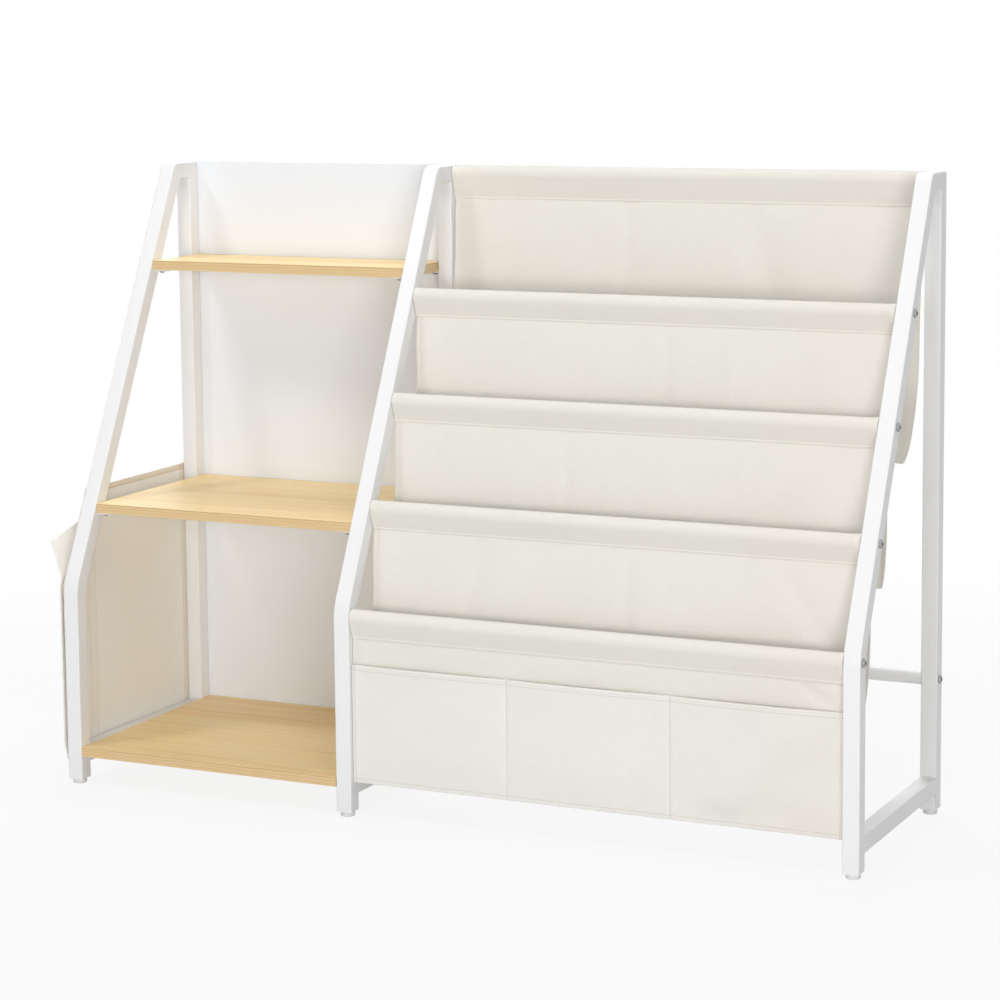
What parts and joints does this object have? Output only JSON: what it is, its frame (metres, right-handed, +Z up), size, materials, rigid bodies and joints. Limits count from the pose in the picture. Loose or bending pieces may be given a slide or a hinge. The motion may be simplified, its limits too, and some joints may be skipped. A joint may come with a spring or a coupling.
{
  "type": "sling bookshelf",
  "caption": "Child's bookshelf on painted tube frames, with cloth slings, a bay of wooden shelves, a side bag and levelling feet.",
  "frame": {"origin": "middle of the bounding box at floor level, under the feet", "axes": "+Z up, +X along the width to the right seen from the front, -Y towards the front"},
  "size_m": [1.0744, 0.3082, 0.76],
  "materials": {
    "frame_paint": "white powder coat on square and round steel tube, satin",
    "bolt_steel": "zinc plated",
    "shelf_wood": "pale oak laminate, satin, banded edges",
    "panel_board": "white laminated board, matt",
    "sling_cloth": "cream plain-weave polyester canvas",
    "bag_cloth": "beige plain-weave polyester canvas",
    "foot_plastic": "white moulded pad on a zinc plated stud"
  },
  "bodies": {
    "bookshelf": {"left_frame": "frame_paint", "middle_frame": "frame_paint", "right_frame": "frame_paint", "sling_rod_1": "frame_paint", "sling_rod_2": "frame_paint", "sling_rod_3": "frame_paint", "sling_rod_4": "frame_paint", "sling_rod_5": "frame_paint", "rear_crossbar": "frame_paint", "right_rod_bolt_2": "bolt_steel", "right_rod_bolt_3": "bolt_steel", "right_rod_bolt_4": "bolt_steel", "right_rod_bolt_5": "bolt_steel", "right_crossbar_bolt": "bolt_steel", "middle_rod_bolt_2": "bolt_steel", "middle_rod_bolt_3": "bolt_steel", "middle_rod_bolt_4": "bolt_steel", "middle_rod_bolt_5": "bolt_steel", "middle_crossbar_bolt": "bolt_steel", "top_shelf_screw_1": "bolt_steel", "top_shelf_screw_2": "bolt_steel", "top_shelf_screw_3": "bolt_steel", "top_shelf_screw_4": "bolt_steel", "middle_shelf_screw_1": "bolt_steel", "middle_shelf_screw_2": "bolt_steel", "middle_shelf_screw_3": "bolt_steel", "middle_shelf_screw_4": "bolt_steel", "bottom_shelf_screw_1": "bolt_steel", "bottom_shelf_screw_2": "bolt_steel", "bottom_shelf_screw_3": "bolt_steel", "bottom_shelf_screw_4": "bolt_steel", "back_panel_screw_1": "bolt_steel", "back_panel_screw_2": "bolt_steel", "back_panel_screw_3": "bolt_steel", "back_panel_screw_4": "bolt_steel", "back_panel_screw_5": "bolt_steel", "back_panel_screw_6": "bolt_steel", "bag_screw_front_low": "bolt_steel", "bag_screw_front_high": "bolt_steel", "bag_screw_rear_low": "bolt_steel", "bag_screw_rear_high": "bolt_steel", "top_shelf": "shelf_wood", "middle_shelf": "shelf_wood", "bottom_shelf": "shelf_wood", "back_panel": "panel_board", "sling_1": "sling_cloth", "sling_2": "sling_cloth", "sling_3": "sling_cloth", "sling_4": "sling_cloth", "front_curtain": "sling_cloth", "front_pocket_strip": "sling_cloth", "side_bag_panel": "bag_cloth", "side_bag_pocket": "bag_cloth"},
    "left_front_foot_body": {"left_front_foot": "foot_plastic"},
    "left_rear_foot_body": {"left_rear_foot": "foot_plastic"},
    "middle_front_foot_body": {"middle_front_foot": "foot_plastic"},
    "middle_rear_foot_body": {"middle_rear_foot": "foot_plastic"},
    "right_front_foot_body": {"right_front_foot": "foot_plastic"},
    "right_rear_foot_body": {"right_rear_foot": "foot_plastic"}
  },
  "joints": [
    {"name": "left_front_foot_thread", "type": "slide", "parent": "bookshelf", "child": "left_front_foot_body", "axis": [0, 0, -1], "range_m": [0, 0.008]},
    {"name": "left_rear_foot_thread", "type": "slide", "parent": "bookshelf", "child": "left_rear_foot_body", "axis": [0, 0, -1], "range_m": [0, 0.008]},
    {"name": "middle_front_foot_thread", "type": "slide", "parent": "bookshelf", "child": "middle_front_foot_body", "axis": [0, 0, -1], "range_m": [0, 0.008]},
    {"name": "middle_rear_foot_thread", "type": "slide", "parent": "bookshelf", "child": "middle_rear_foot_body", "axis": [0, 0, -1], "range_m": [0, 0.008]},
    {"name": "right_front_foot_thread", "type": "slide", "parent": "bookshelf", "child": "right_front_foot_body", "axis": [0, 0, -1], "range_m": [0, 0.008]},
    {"name": "right_rear_foot_thread", "type": "slide", "parent": "bookshelf", "child": "right_rear_foot_body", "axis": [0, 0, -1], "range_m": [0, 0.008]}
  ]
}
